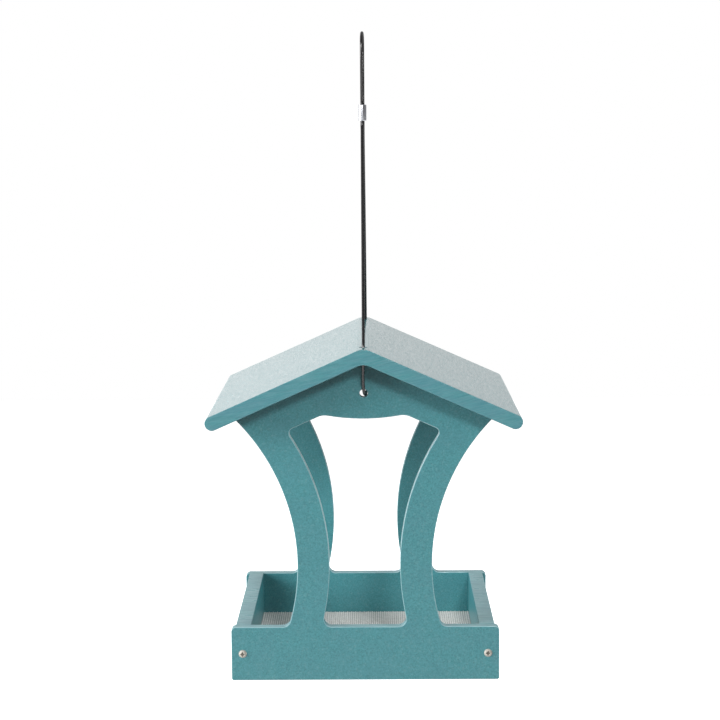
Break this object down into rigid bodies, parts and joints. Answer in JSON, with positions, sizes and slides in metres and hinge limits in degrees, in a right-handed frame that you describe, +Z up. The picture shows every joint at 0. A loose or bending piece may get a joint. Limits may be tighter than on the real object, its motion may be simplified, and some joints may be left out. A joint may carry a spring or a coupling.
{
  "type": "fly-through bird feeder",
  "caption": "Hanging fly-through bird feeder: open tray with a mesh floor, curved column panels front and back, and a gable roof that slides up its cable loop.",
  "frame": {"origin": "bottom centre of the feeder, under the middle of its tray", "axes": "+X to the right seen from the front, +Y from the front panel to the back panel, +Z up"},
  "size_m": [0.277, 0.279, 0.5809],
  "materials": {
    "board": "matte",
    "roof_sheet": "matte",
    "screen": "mill",
    "screws": "satin",
    "cable": "satin",
    "sleeve": "bright"
  },
  "bodies": {
    "feeder": {"front_panel": "board", "back_panel": "board", "left_rail": "board", "right_rail": "board", "floor_screen": "screen", "front_left_screw": "screws", "front_right_screw": "screws", "back_left_screw": "screws", "back_right_screw": "screws", "cable_upper": "cable", "cable_lower": "cable", "ferrule": "sleeve"},
    "roof": {"roof": "roof_sheet"}
  },
  "joints": [
    {"name": "roof_lift", "type": "slide", "parent": "feeder", "child": "roof", "axis": [0, 0, 1], "range_m": [0, 0.1], "deforming": ["cable_upper", "cable_lower"]}
  ]
}
